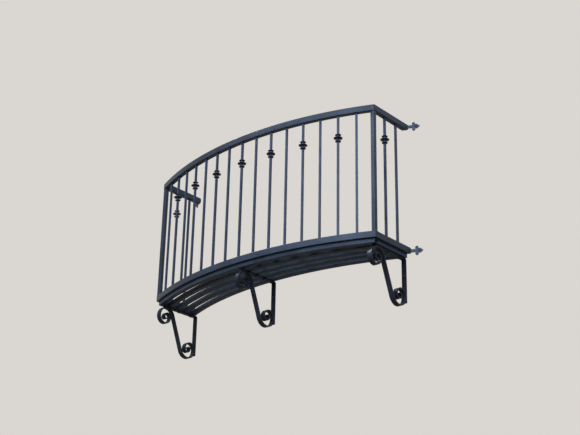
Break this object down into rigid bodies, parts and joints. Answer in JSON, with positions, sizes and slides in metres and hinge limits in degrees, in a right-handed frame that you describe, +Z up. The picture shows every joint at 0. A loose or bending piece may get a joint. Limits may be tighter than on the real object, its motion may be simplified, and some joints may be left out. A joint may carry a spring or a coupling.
{
  "type": "juliet balcony",
  "caption": "Curved wrought-iron juliet balcony: arched square balusters with knuckles between two rails, slatted floor, S-scroll wall brackets and leafed wall tabs.",
  "frame": {"origin": "centre of the flat wall face of the middle bracket's leg", "axes": "+X along the wall to the right as seen from the street, +Y into the wall, +Z up"},
  "size_m": [1.9212, 0.571, 1.1875],
  "materials": {
    "rails": "blue-black satin exterior enamel over iron, slightly dusty on top faces",
    "balusters": "blue-black satin exterior enamel over iron, slightly dusty on top faces",
    "floor": "blue-black satin exterior enamel over iron, slightly dusty on top faces",
    "brackets": "blue-black satin exterior enamel over iron, slightly dusty on top faces",
    "scrolls": "blue-black satin exterior enamel over iron, slightly dusty on top faces",
    "tabs": "blue-black satin exterior enamel over iron, slightly dusty on top faces"
  },
  "bodies": {
    "root": {"handrail_front": "rails", "handrail_left": "rails", "handrail_right": "rails", "bottom_rail_front": "rails", "bottom_rail_left": "rails", "bottom_rail_right": "rails", "post_left": "rails", "post_right": "rails", "baluster_01": "balusters", "baluster_02": "balusters", "baluster_03": "balusters", "baluster_04": "balusters", "baluster_05": "balusters", "baluster_06": "balusters", "baluster_07": "balusters", "baluster_08": "balusters", "baluster_09": "balusters", "baluster_10": "balusters", "baluster_11": "balusters", "baluster_12": "balusters", "baluster_13": "balusters", "baluster_14": "balusters", "baluster_15": "balusters", "left_baluster_1": "balusters", "left_baluster_2": "balusters", "right_baluster_1": "balusters", "right_baluster_2": "balusters", "floor_bar_1": "floor", "floor_bar_2": "floor", "floor_bar_3": "floor", "floor_bar_4": "floor", "floor_bar_5": "floor", "floor_side_left": "floor", "floor_side_right": "floor", "bracket_left": "brackets", "bracket_middle": "brackets", "bracket_right": "brackets", "scroll_left": "scrolls", "scroll_middle": "scrolls", "scroll_right": "scrolls", "tab_top_left": "tabs", "tab_top_right": "tabs", "tab_bottom_left": "tabs", "tab_bottom_right": "tabs"}
  },
  "joints": []
}
